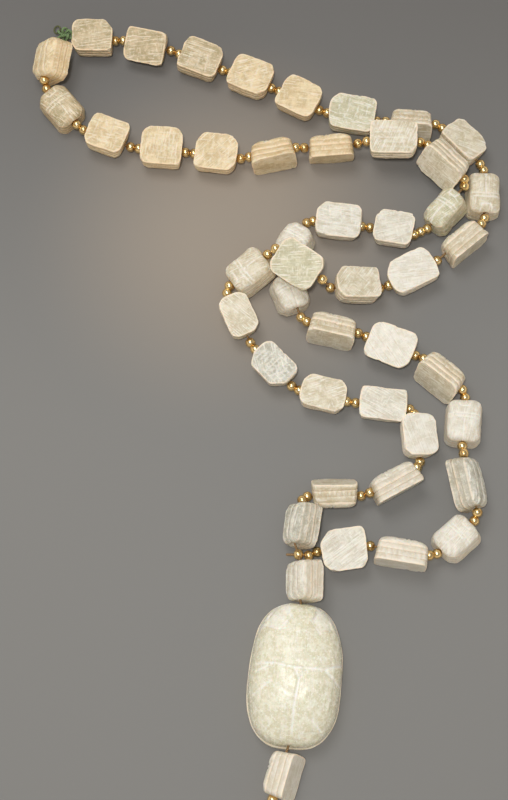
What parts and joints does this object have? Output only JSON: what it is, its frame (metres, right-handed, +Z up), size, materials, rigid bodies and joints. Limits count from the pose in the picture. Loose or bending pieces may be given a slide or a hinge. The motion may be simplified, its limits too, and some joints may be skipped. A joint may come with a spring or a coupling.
{
  "type": "scarab amulet necklace",
  "caption": "Necklace of carved stone scarab beads with gold ball beads between them and a large scarab amulet as its pendant, laid down flat in a loose double loop.",
  "frame": {"origin": "middle of the flat underside of the large scarab, on the table", "axes": "+X to the right as it lies, +Y along the table from the large scarab up the necklace to its tie, +Z up from the table"},
  "size_m": [0.1607, 0.2699, 0.0204],
  "materials": {
    "pale_stone": "cream white carved soapstone, satin, with fine pale scratches and soft worn edges",
    "warm_stone": "warmer straw-coloured carved soapstone, satin, darker in the grooves",
    "greenish_stone": "greenish cream carved soapstone, softly polished, with whitened carved lines",
    "gold_balls": "polished gold-plated balls, bright with brown tarnish round their holes",
    "stringing_thread": "thin twisted golden-brown thread, a little waxy",
    "green_thread": "matt green twisted tying thread, with one darker strand"
  },
  "bodies": {
    "root": {"green_knot": "green_thread", "large_scarab": "greenish_stone", "scarab_drop_end": "pale_stone", "scarab_drop_top": "pale_stone", "scarab_lower_01": "warm_stone", "scarab_lower_02": "warm_stone", "scarab_lower_03": "warm_stone", "scarab_lower_04": "warm_stone", "scarab_lower_05": "warm_stone", "scarab_lower_06": "warm_stone", "scarab_lower_07": "warm_stone", "scarab_lower_08": "warm_stone", "scarab_lower_09": "warm_stone", "scarab_lower_10": "pale_stone", "scarab_lower_11": "pale_stone", "scarab_lower_12": "pale_stone", "scarab_lower_13": "pale_stone", "scarab_lower_14": "pale_stone", "scarab_lower_15": "pale_stone", "scarab_lower_16": "pale_stone", "scarab_lower_17": "pale_stone", "scarab_lower_18": "pale_stone", "scarab_lower_19": "pale_stone", "scarab_lower_20": "pale_stone", "scarab_lower_21": "pale_stone", "scarab_lower_22": "pale_stone", "scarab_upper_01": "warm_stone", "scarab_upper_02": "warm_stone", "scarab_upper_03": "warm_stone", "scarab_upper_04": "warm_stone", "scarab_upper_05": "warm_stone", "scarab_upper_06": "warm_stone", "scarab_upper_07": "warm_stone", "scarab_upper_08": "warm_stone", "scarab_upper_09": "pale_stone", "scarab_upper_10": "pale_stone", "scarab_upper_11": "pale_stone", "scarab_upper_12": "pale_stone", "scarab_upper_13": "pale_stone", "scarab_upper_14": "pale_stone", "scarab_upper_15": "pale_stone", "scarab_upper_16": "pale_stone", "scarab_upper_17": "pale_stone", "scarab_upper_18": "pale_stone", "scarab_upper_19": "pale_stone", "scarab_upper_20": "pale_stone", "scarab_upper_21": "pale_stone", "scarab_upper_22": "pale_stone", "string_with_gold_balls": "gold_balls"}
  },
  "joints": []
}
